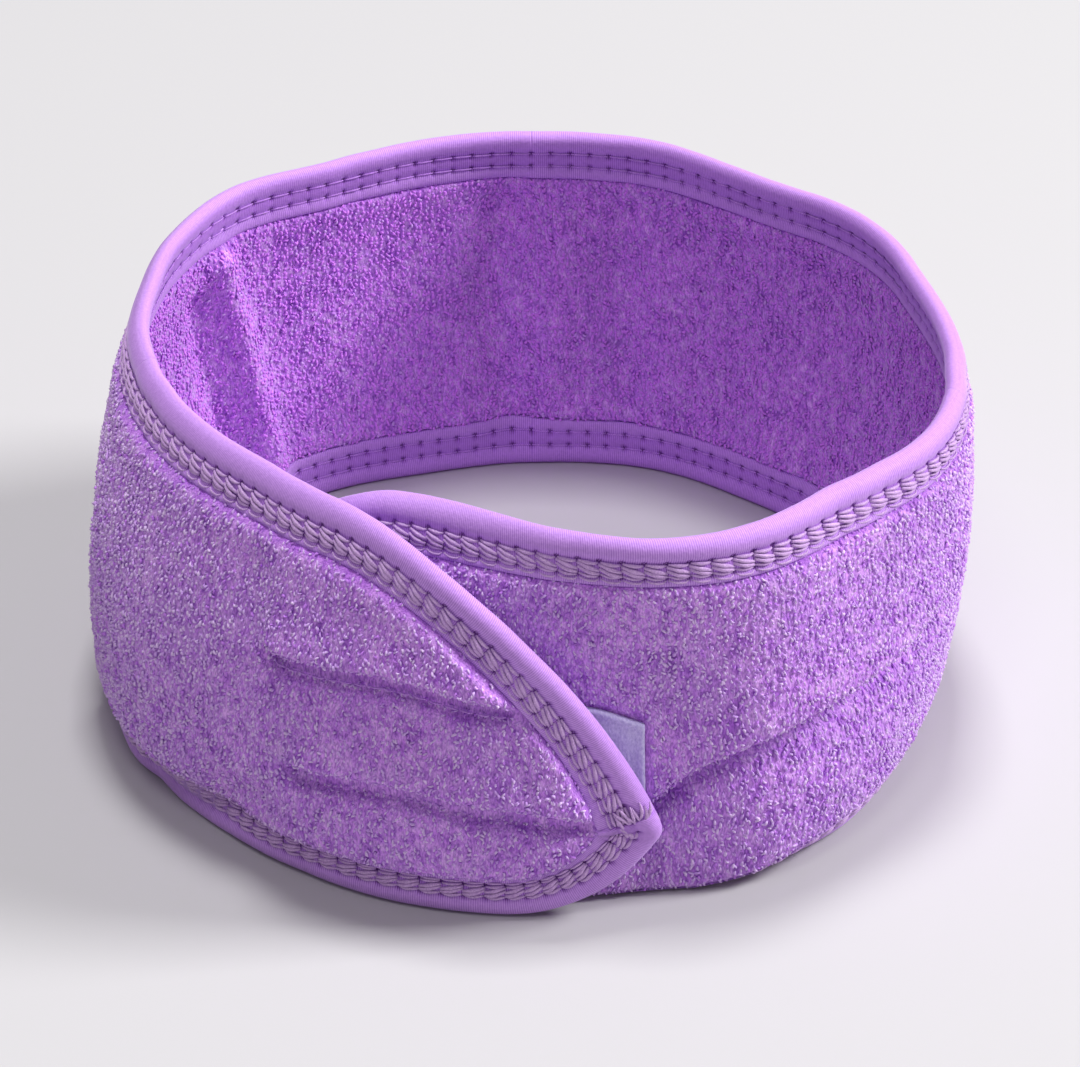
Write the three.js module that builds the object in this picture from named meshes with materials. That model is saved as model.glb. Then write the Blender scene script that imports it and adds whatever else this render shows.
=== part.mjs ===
// An adjustable spa headband: one ply of plush terry, bound all round with folded knit tape and closed into a ring
// by a hook tape inside the flap and a loop tape outside the under end.
// Units are millimetres, +Z is up, and the ring's lower edge stands on the plane z = 0. The front is -Y.
//
// Every piece is drawn on the band's flat pattern and then laid on the ring. A pattern point is [along, up, out]:
// along runs from the under end's tip to the flap's tip, up from the lower edge to the upper one, and out is the
// height over the middle of the cloth, positive away from the head.

import * as THREE from "three";
import { mergeVertices } from "three/addons/utils/BufferGeometryUtils.js";

// ---- driving dimensions ----
const BAND_WIDTH = 84;
const PATTERN_RADIUS = 86; // millimetres of band for each radian of ring
const START_DEG = 224; // the under end's tip, counted from +X
const FLAP_TIP_DEG = 647; // the flap's tip, after more than one whole turn
const RING_CENTRE = { x: -0.05, y: -0.73 }; // puts the middle of the object's box over the origin

const PILE_HALF = 1.9; // half the cloth's thickness with its pile
const BOUND_HALF = 0.7; // the same where the binding squeezes it
const CUT_EDGE_IN = 1.8; // from the binding's fold to the cloth's cut edge
const SQUEEZED_TO = 11.6; // the binding holds the cloth flat as far in as this
const PILE_FROM = 12.6; // and it is at its full height from here on

const LEG_OUTSIDE = 10; // how far the binding reaches in from its fold, outside and inside
const LEG_INSIDE = 11;
const BINDING_CAVITY = 1.15; // from the middle of the cloth to the binding's inner faces
const BINDING_FACE = 1.9; // to its outer faces
const ROLL_FACE = 2.2; // and to the plump fold
const FOLD_HALF = 1; // half the narrow flat that the fold stands on
const CAVITY_FLOOR = 1.4; // how thick the tape is at the fold

const ROLL_END = 3.6; // where the roll has come down to the flat leg, from the fold
const STITCHED = { from: 4.6, to: 8.8 }; // the coverstitched strip, from the fold
const THREAD_GAP = 0.3;
const LOOPER_THICK = 0.4; // the chain outside
const NEEDLE_THICK = 0.3; // the rows inside

const TAPE_GAP = 0.3; // from a fastener tape to the pile
const HOOK_THICK = 0.9;
const LOOP_THICK = 0.9;
const TAPE_WIDTH = 25;
const HOOK_TAPE = { span: "flap", from: 593, to: 628, slant: 5 }; // slant: how much further its lower edge runs
const LOOP_TAPE = { span: "under_end", from: 233, to: 285, slant: 0 };
// The line down the middle of both fastener tapes: [degrees round the ring, height].
const TAPE_LINE = [[225, 36.5], [235, 38], [253, 40], [266, 37.4], [275, 34.6], [290, 29.4]];
const BOX_SEAM = { in: 1.6, wide: 1, thick: 0.4, gap: 0.3 }; // the sewing round a fastener tape

const CUT_GAP = 0.6; // left between two neighbouring bodies
const STATION_STEP = 7.5;

// Where the five bodies of the band begin and end, in degrees round the ring.
const SPANS = {
  under_end: [START_DEG, 300],
  right: [300, 390],
  back: [390, 510],
  left: [510, 586],
  flap: [586, FLAP_TIP_DEG],
};

// The ring at a few places: [degrees, radius at the lower edge, radius at the upper edge, belly between them].
const RING = [
  [224, 82.0, 69.0, 6.0],
  [239, 82.5, 71.0, 5.0],
  [250, 83.0, 68.5, 6.5],
  [262, 83.5, 71.0, 5.8],
  [275, 84.0, 78.5, 2.4],
  [287, 85.0, 85.4, 0.8],
  [300, 89.5, 87.8, 3.0],
  [315, 89.0, 86.3, 4.0],
  [335, 84.5, 90.5, 4.0],
  [355, 84.0, 88.0, 4.5],
  [375, 85.0, 85.5, 4.0],
  [395, 85.0, 87.0, 3.5],
  [414, 85.3, 84.0, 3.5],
  [432, 87.8, 88.3, 2.5],
  [450, 86.3, 88.6, 2.5],
  [466, 85.0, 87.9, 3.0],
  [481, 86.5, 86.6, 3.0],
  [495, 87.5, 89.8, 3.0],
  [510, 87.5, 87.3, 3.5],
  [525, 87.0, 83.0, 5.0],
  [540, 87.3, 80.8, 6.0],
  [555, 88.0, 78.1, 6.5],
  [570, 89.0, 75.8, 6.5],
  [586, 87.5, 74.5, 6.5],
  [598, 88.0, 76.5, 6.5],
  [610, 89.6, 79.0, 5.0],
  [622, 90.3, 83.0, 3.5],
  [635, 90.6, 87.5, 1.5],
  [647, 92.0, 92.0, 0.3],
];

// The two ends of the band. Each edge is a Bezier curve of [distance from the tip, height], from the tip inwards.
const FLAP_TIP_UP = 19.4;
const UNDER_TIP_UP = BAND_WIDTH / 2;
const ENDS = {
  flap: {
    upper: [[0, FLAP_TIP_UP], [6.5, 39], [28, BAND_WIDTH], [72, BAND_WIDTH]],
    lower: [[0, FLAP_TIP_UP], [6, 10.2], [14, 0], [32, 0]],
  },
  under_end: {
    upper: [[0, UNDER_TIP_UP], [0, 66], [14, BAND_WIDTH], [36, BAND_WIDTH]],
    lower: [[0, UNDER_TIP_UP], [0, 18], [14, 0], [36, 0]],
  },
};
const MITRE_RUN = 26; // the binding's sections turn from the mitre to square over this length
const MITRE_GAP = 0.25;

const { clamp, degToRad, lerp, radToDeg } = THREE.MathUtils;
const alongOf = (deg) => degToRad(deg - START_DEG) * PATTERN_RADIUS;
const BAND_LENGTH = alongOf(FLAP_TIP_DEG);

// ---- the ring's surface ----

// A column of the RING table at an angle, carried smoothly from row to row.
function ringValue(deg, column) {
  const i = clamp(RING.findIndex((row) => row[0] > deg) - 1, 0, RING.length - 2);
  const [before, low, high, after] = [i - 1, i, i + 1, i + 2].map((k) => RING[clamp(k, 0, RING.length - 1)]);
  const span = high[0] - low[0];
  const slope = (a, b) => ((b[column] - a[column]) / (b[0] - a[0])) * span;
  const x = deg >= FLAP_TIP_DEG ? 1 : (deg - low[0]) / span;
  const rise = x * x * (3 - 2 * x);
  return (
    lerp(low[column], high[column], rise) +
    slope(before, high) * x * (1 - x) * (1 - x) -
    slope(low, after) * x * x * (1 - x)
  );
}

// The place on the ring of a pattern point.
function place([along, up, out]) {
  const deg = clamp(START_DEG + radToDeg(along / PATTERN_RADIUS), START_DEG, FLAP_TIP_DEG);
  const share = up / BAND_WIDTH;
  const belly = ringValue(deg, 3) * 4 * share * (1 - share);
  const radius = lerp(ringValue(deg, 1), ringValue(deg, 2), share) + belly + out;
  const angle = degToRad(START_DEG) + along / PATTERN_RADIUS;
  return [radius * Math.cos(angle) - RING_CENTRE.x, radius * Math.sin(angle) - RING_CENTRE.y, up];
}

// ---- the outline on the pattern ----

// A place on an end's edge, with the unit directions along it and in from it.
function edgePoint(curve, side, t) {
  const [p0, p1, p2, p3] = curve.map(([x, z]) => new THREE.Vector2(x, z));
  const bezier = new THREE.CubicBezierCurve(p0, p1, p2, p3);
  const tangent = bezier.getTangent(t);
  const turn = side === "upper" ? 1 : -1;
  return { at: bezier.getPoint(t), tangent, inward: new THREE.Vector2(tangent.y * turn, -tangent.x * turn) };
}

// How high an end's edge stands at a distance from the tip, moved in by inset; null where it has run out.
function insetHeight(curve, side, inset, distance) {
  const shifted = (t) => {
    const { at, inward } = edgePoint(curve, side, t);
    return inward.multiplyScalar(inset).add(at);
  };
  if (distance >= curve[3][0]) return side === "upper" ? BAND_WIDTH - inset : inset;
  if (distance < shifted(0).x) return null;
  let [low, high] = [0, 1];
  for (let i = 0; i < 30; i++) {
    const middle = (low + high) / 2;
    if (shifted(middle).x < distance) low = middle;
    else high = middle;
  }
  return shifted(high).y;
}

// The two heights that an end lies between at a distance from the tip, moved in by inset; null past the tip.
function insetSpan(end, inset, distance) {
  const bottom = insetHeight(end.lower, "lower", inset, distance);
  const top = insetHeight(end.upper, "upper", inset, distance);
  return bottom === null || top === null || bottom > top ? null : [bottom, top];
}

// How far from the tip an end, moved in by inset, begins.
function insetStart(end, inset) {
  let [low, high] = [0, end.upper[3][0]];
  for (let i = 0; i < 30; i++) {
    const middle = (low + high) / 2;
    if (insetSpan(end, inset, middle)) high = middle;
    else low = middle;
  }
  return high;
}

// Evenly spaced numbers from one to the other, both included.
function spread(from, to, step = STATION_STEP) {
  const count = Math.max(1, Math.ceil(Math.abs(to - from) / step));
  return Array.from({ length: count + 1 }, (_, i) => lerp(from, to, i / count));
}

// The stretch of the pattern that a span covers, less the gaps at its neighbours.
function spanAlong(span) {
  const [from, to] = SPANS[span].map(alongOf);
  return [from + (span === "under_end" ? 0 : CUT_GAP / 2), to - (span === "flap" ? 0 : CUT_GAP / 2)];
}

// ---- stations: places along an edge, with the direction in from it ----

function straightStations(side, from, to) {
  const up = side === "upper" ? BAND_WIDTH : 0;
  const inward = [0, side === "upper" ? -1 : 1];
  return spread(from, to).map((along) => ({ at: [along, up], inward }));
}

// An end's edge from its tip to its span's cut.
function endStations(span, side) {
  const curve = ENDS[span][side];
  const sense = span === "flap" ? -1 : 1;
  const tip = span === "flap" ? BAND_LENGTH : 0;
  const opening = edgePoint(ENDS[span].upper, "upper", 0).tangent.angleTo(
    edgePoint(ENDS[span].lower, "lower", 0).tangent,
  );
  const mitre = 1 / Math.tan(opening / 2);
  const length = new THREE.CubicBezierCurve(...curve.map(([x, z]) => new THREE.Vector2(x, z))).getLength();
  const curved = spread(MITRE_GAP / length, 1, STATION_STEP / length).map((t) => {
    const { at, tangent, inward } = edgePoint(curve, side, t);
    inward.addScaledVector(tangent, mitre * Math.max(0, 1 - (t * length) / MITRE_RUN));
    return { at: [tip + sense * at.x, at.y], inward: [sense * inward.x, inward.y] };
  });
  const [from, to] = spanAlong(span);
  const cut = span === "flap" ? from : to;
  return [...curved, ...straightStations(side, tip + sense * curve[3][0], cut).slice(1)];
}

// The binding's runs: each edge of the middle spans, each edge of the flap, and the whole way round the under end.
function edgeRuns() {
  const runs = { under_end: [...endStations("under_end", "lower").reverse(), ...endStations("under_end", "upper")] };
  for (const [name, side] of [["top", "upper"], ["bottom", "lower"]]) {
    for (const span of ["right", "back", "left"]) {
      runs[`${name}_${span}`] = straightStations(side, ...spanAlong(span));
    }
    runs[`${name}_flap`] = endStations("flap", side);
  }
  return runs;
}

// ---- solids ----

function solid(name, points, triangles, material) {
  const corner = (i) => new THREE.Vector3(...points[i]);
  const volume = triangles.reduce((sum, [a, b, c]) => sum + corner(a).dot(corner(b).cross(corner(c))), 0);
  const outward = volume > 0 ? triangles : triangles.map(([a, b, c]) => [a, c, b]);
  const loose = new THREE.BufferGeometry();
  loose.setAttribute("position", new THREE.Float32BufferAttribute(points.flat(), 3));
  loose.setIndex(outward.flat());
  const geometry = mergeVertices(loose, 1e-4);
  const corners = Array.from(geometry.index.array);
  const kept = corners.flatMap((_, i) => {
    const triangle = corners.slice(i, i + 3);
    return i % 3 === 0 && new Set(triangle).size === 3 ? triangle : [];
  });
  geometry.setIndex(kept);
  geometry.computeVertexNormals();
  const mesh = new THREE.Mesh(geometry, material);
  mesh.name = name;
  return mesh;
}

// A solid through rings of pattern points, all of one count, with its ends closed or joined to each other.
// flat gives the first ring's points on a plane, for closing the ends.
function sweep(name, rings, flat, material, joined = false) {
  const n = rings[0].length;
  const total = rings.length * n;
  const triangles = [];
  for (let j = 0; j < rings.length - (joined ? 0 : 1); j++) {
    for (let i = 0; i < n; i++) {
      const [a, b] = [j * n + i, j * n + ((i + 1) % n)];
      const [c, d] = [(b + n) % total, (a + n) % total];
      triangles.push([a, b, c], [a, c, d]);
    }
  }
  if (!joined) {
    const contour = flat.map(([x, y]) => new THREE.Vector2(x, y));
    const clockwise = THREE.ShapeUtils.isClockWise(contour);
    for (const [a, b, c] of THREE.ShapeUtils.triangulateShape(contour, [])) {
      const same = THREE.ShapeUtils.isClockWise([contour[a], contour[b], contour[c]]) === clockwise;
      const [x, y, z] = same ? [a, b, c] : [a, c, b];
      triangles.push([z, y, x], [x, y, z].map((i) => i + total - n));
    }
  }
  return solid(name, rings.flat().map(place), triangles, material);
}

// A section of [inset, out] points carried along stations.
function edging(name, stations, section, material, joined = false) {
  const rings = stations.map(({ at, inward }) =>
    section.map(([inset, out]) => [at[0] + inward[0] * inset, at[1] + inward[1] * inset, out]),
  );
  return sweep(name, rings, section, material, joined);
}

const slab = (from, to, low, high) => [[from, low], [to, low], [to, high], [from, high]];

// ---- materials ----

const cloth = (colour, roughness) => new THREE.MeshStandardMaterial({ color: colour, roughness, metalness: 0 });
const MATERIALS = {
  terry: cloth("#8a74b4", 1),
  binding: cloth("#9a8ac6", 0.95),
  thread: cloth("#8d7fb4", 0.85),
  hook: cloth("#7c68ad", 0.8),
  loop: cloth("#b9add6", 1),
};

// ---- the pieces ----

// The cloth's section between two edges: heights and half thicknesses, squeezed under the binding. The squeezed
// strip is long near a round end, so it is drawn in several steps.
function terryLevels(heightsAt, steps) {
  const [cut, squeezed, pile] = [CUT_EDGE_IN, SQUEEZED_TO, PILE_FROM].map(heightsAt);
  const middle = (cut[0] + cut[1]) / 2;
  const inner = squeezed ?? [middle, middle];
  const full = pile ?? [middle, middle];
  const half = lerp(BOUND_HALF, PILE_HALF, clamp((full[1] - full[0]) / 4, 0, 1));
  const bound = [0, 1].map((k) => Array.from({ length: steps + 1 }, (_, i) => lerp(cut[k], inner[k], i / steps)));
  return [
    ...bound[0].map((up) => [up, BOUND_HALF]),
    ...[0, 0.25, 0.5, 0.75, 1].map((share) => [lerp(full[0], full[1], share), half]),
    ...bound[1].reverse().map((up) => [up, BOUND_HALF]),
  ];
}

// Where along the pattern the cloth of a span has its sections, with the two heights it lies between at an inset.
function terryStations(span) {
  const end = ENDS[span];
  const [from, to] = spanAlong(span);
  if (!end) return spread(from, to).map((along) => ({ along, heightsAt: (inset) => [inset, BAND_WIDTH - inset] }));
  const distances = [
    ...spread(insetStart(end, CUT_EDGE_IN) + 0.6, insetStart(end, SQUEEZED_TO)),
    ...spread(insetStart(end, PILE_FROM), end.upper[3][0]),
    ...spread(end.upper[3][0], to - from).slice(1),
  ];
  const alongAt = (x) => (span === "flap" ? to - x : from + x);
  return distances.map((x) => ({ along: alongAt(x), heightsAt: (inset) => insetSpan(end, inset, x) }));
}

function terry(span) {
  const rings = terryStations(span).map(({ along, heightsAt }) => {
    const levels = terryLevels(heightsAt, span === "under_end" ? 3 : 1);
    const outside = levels.map(([up, half]) => [along, up, half]);
    const inside = levels.map(([up, half]) => [along, up, -half]).reverse();
    return [...outside, ...inside];
  });
  return sweep(`terry_${span}`, rings, endPlane(rings[0].length), MATERIALS.terry);
}

// Stand-in places for closing a terry section of n points: a strip of n / 2 steps, two points high.
function endPlane(n) {
  const steps = Array.from({ length: n / 2 }, (_, i) => i);
  return [...steps.map((i) => [i, 1]), ...steps.map((i) => [i, -1]).reverse()];
}

// The folded tape: a plump roll over the edge with a leg down each side of the cloth.
const BINDING_SECTION = [
  [LEG_OUTSIDE, BINDING_CAVITY],
  [LEG_OUTSIDE, BINDING_FACE],
  [ROLL_END, BINDING_FACE],
  [2, ROLL_FACE],
  [0, FOLD_HALF],
  [0, -FOLD_HALF],
  [2, -ROLL_FACE],
  [ROLL_END, -BINDING_FACE],
  [LEG_INSIDE, -BINDING_FACE],
  [LEG_INSIDE, -BINDING_CAVITY],
  [CAVITY_FLOOR, -BINDING_CAVITY],
  [CAVITY_FLOOR, BINDING_CAVITY],
];
const LOOPER_SECTION = slab(
  STITCHED.from,
  STITCHED.to,
  BINDING_FACE + THREAD_GAP,
  BINDING_FACE + THREAD_GAP + LOOPER_THICK,
);
const NEEDLE_SECTION = slab(
  STITCHED.from,
  STITCHED.to,
  -BINDING_FACE - THREAD_GAP - NEEDLE_THICK,
  -BINDING_FACE - THREAD_GAP,
);

// The height of the fastener tapes' middle line at a place along the band.
function tapeMiddle(along) {
  const turned = START_DEG + radToDeg(along / PATTERN_RADIUS);
  const deg = turned > TAPE_LINE[0][0] + 360 ? turned - 360 : turned;
  const i = clamp(TAPE_LINE.findIndex((point) => point[0] > deg) - 1, 0, TAPE_LINE.length - 2);
  const [low, high] = [TAPE_LINE[i], TAPE_LINE[i + 1]];
  return lerp(low[1], high[1], clamp((deg - low[0]) / (high[0] - low[0]), 0, 1));
}

// The pattern point of a fastener tape over a place on its upper edge. share is how far up the tape it lies.
function tapePoint(tape, along, share) {
  const [from, to] = [tape.from, tape.to].map(alongOf);
  const lean = degToRad(tape.slant) * PATTERN_RADIUS * (1 - share) * ((along - from) / (to - from));
  return [along + lean, tapeMiddle(along + lean) + (share - 0.5) * TAPE_WIDTH];
}

// Sections between two places that stand exactly where those of the cloth do.
function alongBetween(span, from, to) {
  const inside = terryStations(span).map(({ along }) => along).filter((along) => along > from && along < to);
  return [from, ...inside.sort((a, b) => a - b), to];
}

function fastenerTape(name, tape, low, high, material) {
  const shares = [0, 0.25, 0.5, 0.75, 1];
  const rings = alongBetween(tape.span, alongOf(tape.from), alongOf(tape.to)).map((along) => {
    const line = shares.map((share) => tapePoint(tape, along, share));
    return [...line.map((point) => [...point, low]), ...line.reverse().map((point) => [...point, high])];
  });
  return sweep(name, rings, endPlane(rings[0].length), material);
}

// The rectangle of thread that sews a fastener tape on, on the face of the cloth that the tape isn't on.
function boxSeam(name, tape, low, high) {
  const [left, right] = [alongOf(tape.from) + BOX_SEAM.in, alongOf(tape.to) - BOX_SEAM.in];
  const [bottom, top] = [BOX_SEAM.in / TAPE_WIDTH, 1 - BOX_SEAM.in / TAPE_WIDTH];
  const middles = alongBetween(tape.span, left, right).slice(1, -1);
  const corner = (along, share, inward) => ({ at: tapePoint(tape, along, share), inward });
  const stations = [
    corner(left, bottom, [1, 1]),
    ...middles.map((along) => corner(along, bottom, [0, 1])),
    corner(right, bottom, [-1, 1]),
    corner(right, (bottom + top) / 2, [-1, 0]),
    corner(right, top, [-1, -1]),
    ...middles.reverse().map((along) => corner(along, top, [0, -1])),
    corner(left, top, [1, -1]),
    corner(left, (bottom + top) / 2, [1, 0]),
  ];
  return edging(name, stations, slab(0, BOX_SEAM.wide, low, high), MATERIALS.thread, true);
}

// The bar of stitches over the place where the binding's two ends meet, at the flap's tip.
function tipTack() {
  const [upper, lower] = ["upper", "lower"].map((side) => edgePoint(ENDS.flap[side], side, 0).tangent);
  const mitre = upper.add(lower).normalize();
  const across = [mitre.y, mitre.x];
  const stations = [1.8, 5, 8.5].map((x) => ({
    at: [BAND_LENGTH - mitre.x * x, FLAP_TIP_UP + mitre.y * x],
    inward: across,
  }));
  const low = BINDING_FACE + LOOPER_THICK + 2 * THREAD_GAP;
  return edging("tip_tack", stations, slab(-1.5, 1.5, low, low + LOOPER_THICK), MATERIALS.thread);
}

const headband = new THREE.Group();
for (const span of Object.keys(SPANS)) headband.add(terry(span));
for (const [run, stations] of Object.entries(edgeRuns())) {
  headband.add(edging(`binding_${run}`, stations, BINDING_SECTION, MATERIALS.binding));
  headband.add(edging(`coverstitch_${run}`, stations, LOOPER_SECTION, MATERIALS.thread));
  headband.add(edging(`needle_thread_${run}`, stations, NEEDLE_SECTION, MATERIALS.thread));
}

const TAPE_FACE = PILE_HALF + TAPE_GAP;
const SEAM_FACE = PILE_HALF + BOX_SEAM.gap;
headband.add(
  fastenerTape("hook_tape", HOOK_TAPE, -TAPE_FACE - HOOK_THICK, -TAPE_FACE, MATERIALS.hook),
  boxSeam("hook_tape_stitching", HOOK_TAPE, SEAM_FACE, SEAM_FACE + BOX_SEAM.thick),
  fastenerTape("loop_tape", LOOP_TAPE, TAPE_FACE, TAPE_FACE + LOOP_THICK, MATERIALS.loop),
  boxSeam("loop_tape_stitching", LOOP_TAPE, -SEAM_FACE - BOX_SEAM.thick, -SEAM_FACE),
  tipTack(),
);

export default headband;
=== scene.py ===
"""The spa headband's looks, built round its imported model: plush terry, ribbed knit binding,
coverstitching, needle stitches, the hook and loop tapes with their seams, and the tack at the flap's tip.

Lengths are in millimetres until a piece is made, and metres after that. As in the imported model, a piece
is drawn on the band's flat pattern and laid on the ring: along runs from the under end's tip to the
flap's tip, up from the lower edge to the upper one, and out is the height over the middle of the cloth,
positive away from the head.
"""

import math

import bpy
import numpy as np
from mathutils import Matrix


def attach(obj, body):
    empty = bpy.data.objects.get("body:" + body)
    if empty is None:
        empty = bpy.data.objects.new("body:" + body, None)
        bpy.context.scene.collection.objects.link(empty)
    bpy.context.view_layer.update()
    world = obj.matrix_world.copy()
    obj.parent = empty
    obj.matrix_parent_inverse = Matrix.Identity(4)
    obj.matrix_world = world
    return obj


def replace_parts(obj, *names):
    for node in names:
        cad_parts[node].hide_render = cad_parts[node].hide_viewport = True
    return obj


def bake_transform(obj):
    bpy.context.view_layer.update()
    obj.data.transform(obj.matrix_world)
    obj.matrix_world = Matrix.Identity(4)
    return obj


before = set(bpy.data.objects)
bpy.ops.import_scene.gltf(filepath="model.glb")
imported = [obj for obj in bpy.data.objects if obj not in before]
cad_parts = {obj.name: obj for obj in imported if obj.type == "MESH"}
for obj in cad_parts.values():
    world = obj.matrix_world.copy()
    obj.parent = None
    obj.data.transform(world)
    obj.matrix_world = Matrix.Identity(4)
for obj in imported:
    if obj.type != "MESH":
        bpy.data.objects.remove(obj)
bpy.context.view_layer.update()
scene = bpy.context.scene

# ---- driving dimensions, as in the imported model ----

BAND_WIDTH = 84
PATTERN_RADIUS = 86  # a millimetre along the pattern is an arc of this radius
START_DEG = 224
FLAP_TIP_DEG = 647
FLAP_TIP_UP = 19.4
RING_CENTRE = (-0.05, -0.73)

# The ring at a few places: degrees, radius at the lower edge, radius at the upper edge, belly between them.
RING = np.array([
    [224, 82.0, 69.0, 6.0],
    [239, 82.5, 71.0, 5.0],
    [250, 83.0, 68.5, 6.5],
    [262, 83.5, 71.0, 5.8],
    [275, 84.0, 78.5, 2.4],
    [287, 85.0, 85.4, 0.8],
    [300, 89.5, 87.8, 3.0],
    [315, 89.0, 86.3, 4.0],
    [335, 84.5, 90.5, 4.0],
    [355, 84.0, 88.0, 4.5],
    [375, 85.0, 85.5, 4.0],
    [395, 85.0, 87.0, 3.5],
    [414, 85.3, 84.0, 3.5],
    [432, 87.8, 88.3, 2.5],
    [450, 86.3, 88.6, 2.5],
    [466, 85.0, 87.9, 3.0],
    [481, 86.5, 86.6, 3.0],
    [495, 87.5, 89.8, 3.0],
    [510, 87.5, 87.3, 3.5],
    [525, 87.0, 83.0, 5.0],
    [540, 87.3, 80.8, 6.0],
    [555, 88.0, 78.1, 6.5],
    [570, 89.0, 75.8, 6.5],
    [586, 87.5, 74.5, 6.5],
    [598, 88.0, 76.5, 6.5],
    [610, 89.6, 79.0, 5.0],
    [622, 90.3, 83.0, 3.5],
    [635, 90.6, 87.5, 1.5],
    [647, 92.0, 92.0, 0.3],
])

# Soft folds in the standing band: the places along each as (degrees, height), how far it reaches to
# either side, and how far it moves the cloth outwards.
FOLDS = [
    ([(491.5, 8), (493, 24), (496, 46), (499, 62), (500, 68)], 3.6, -3.4),
    ([(498, 12), (500, 26), (503, 46), (505, 60)], 3.8, 3.0),
    ([(453, 12), (455, 24), (456, 50), (454, 66)], 6.0, 2.6),
    ([(447, 24), (446, 60)], 5.0, -1.5),
    ([(436, 18), (437, 50), (436, 64)], 5.0, 2.2),
    ([(429, 22), (430, 60)], 5.0, -1.4),
    ([(418, 18), (419, 50), (418, 62)], 5.0, 2.0),
    ([(403, 16), (404, 56), (405, 64)], 6.0, 1.6),
    ([(303, 18), (315, 21), (328, 26)], 7.0, 0.9),
    ([(570, 3), (584, 8), (592, 16)], 5.5, -2.4),
    ([(589, 68), (591, 50), (590, 30)], 4.5, -1.6),
]

# The slanting crease at the front right, as (degrees, height), that the cloth above hangs over.
CREASE = [(286, 27), (292, 33.5), (298, 36.5), (305.5, 38), (314, 39), (324, 40), (334, 44), (341, 52)]
CREASE_ABOVE = (1.5, 11)  # how far the cloth just above the crease stands out, and how far up that carries
CREASE_BELOW = (3.2, 10)  # how far the cloth just below it lies in, and how far down
CREASE_GROOVE = 2.4  # how deep the crease itself is
CREASE_SOFT = 2.1  # half the height that the cloth turns in over
CREASE_FADE = 7  # how far past its ends a crease fades out

# The lower edge is tucked flat under at the front right: degrees, share of the whole tuck.
TUCK = np.array([
    [256, 0], [268, 1], [292, 1], [300, 0.75], [308, 0.45], [316, 0.3], [330, 0.25], [345, 0],
])
TUCK_FOLD = 10  # how high on the pattern the tuck is folded
TUCK_IN = 0.9  # how far in the cloth below the fold lies, for each millimetre below it
TUCK_SAG = 9.2  # how far down the fold comes
TUCK_TOP = 46  # up to where the cloth sags with it

# The two ends of the band. Each edge is a Bezier curve of (distance from the tip, height), starting there.
ENDS = {
    "flap": {
        "upper": [(0, FLAP_TIP_UP), (6.5, 39), (28, BAND_WIDTH), (72, BAND_WIDTH)],
        "lower": [(0, FLAP_TIP_UP), (6, 10.2), (14, 0), (32, 0)],
    },
    "under": {
        "upper": [(0, 42), (0, 66), (14, BAND_WIDTH), (36, BAND_WIDTH)],
        "lower": [(0, 42), (0, 18), (14, 0), (36, 0)],
    },
}

END_OF = {"front_right": "under", "front_left": "flap"}
TIP_BLUNT = 15  # how many points of the outline the flap's tip is rounded over
JOIN_PAST_TIP = 14  # how many points up the outline from the tip the binding's two ends meet

# The pieces of the band: degrees from and to, a hinge, and the bodies before and after it. They meet in the
# middles of the side and back panels.
SPANS = {
    "front_right": (START_DEG, 345, 300, "under_end", "right_side"),
    "back_right": (345, 450, 390, "right_side", "back"),
    "back_left": (450, 548, 510, "back", "left_side"),
    "front_left": (548, FLAP_TIP_DEG, 586, "left_side", "flap"),
}

# The fastener tapes: degrees from and to along the upper edge, and how much further the lower edge runs.
HOOK_TAPE = (593, 628, 5)
LOOP_TAPE = (233, 285, 0)
TAPE_ON = {"front_left": HOOK_TAPE, "front_right": LOOP_TAPE}
TAPE_WIDTH = 25
SEAM_IN = 1.8  # from a tape's edge to its stitching
# The line down the middle of both tapes: degrees round the ring, height.
TAPE_LINE = np.array([[225, 36.5], [235, 38.0], [253, 40.0], [266, 37.4], [275, 34.6], [290, 29.4]])

STITCH_PITCH = 4.3
NEEDLE_ROWS = (4.8, 8.1)  # from the binding's fold
TAPE_REACH = (9.8, 10.8)  # of the binding from its fold, outside and inside
CORNER_EXTRA = 2.0  # how much wider the binding lies where it is folded round the flap's tip


def along_of(deg):
    return np.radians(np.asarray(deg, float) - START_DEG) * PATTERN_RADIUS


def deg_of(along):
    return START_DEG + np.degrees(np.asarray(along, float) / PATTERN_RADIUS)


BAND_LENGTH = float(along_of(FLAP_TIP_DEG))


def smooth(low, high, x):
    """0 below a range and 1 above it, with a soft rise between."""
    t = np.clip((x - low) / (high - low), 0, 1)
    return t * t * (3 - 2 * t)


def within(value, low, high, soft):
    """1 inside a range, falling to 0 over soft at its ends."""
    return smooth(low - soft, low, value) * (1 - smooth(high, high + soft, value))


def grain(along, up, size, seed):
    """Smooth random heights from -1 to 1 that change over size (along, up)."""
    margin = 7  # keeps places just off the pattern on the lattice
    x, y = along / size[0] + margin, up / size[1] + margin
    i, j = np.floor(x).astype(int), np.floor(y).astype(int)
    lattice = np.random.RandomState(seed).uniform(-1, 1, (i.max() + 2, j.max() + 2))
    u, v = smooth(0, 1, x - i), smooth(0, 1, y - j)
    low = lattice[i, j] * (1 - u) + lattice[i + 1, j] * u
    high = lattice[i, j + 1] * (1 - u) + lattice[i + 1, j + 1] * u
    return low * (1 - v) + high * v


# ---- the ring's surface ----


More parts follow.
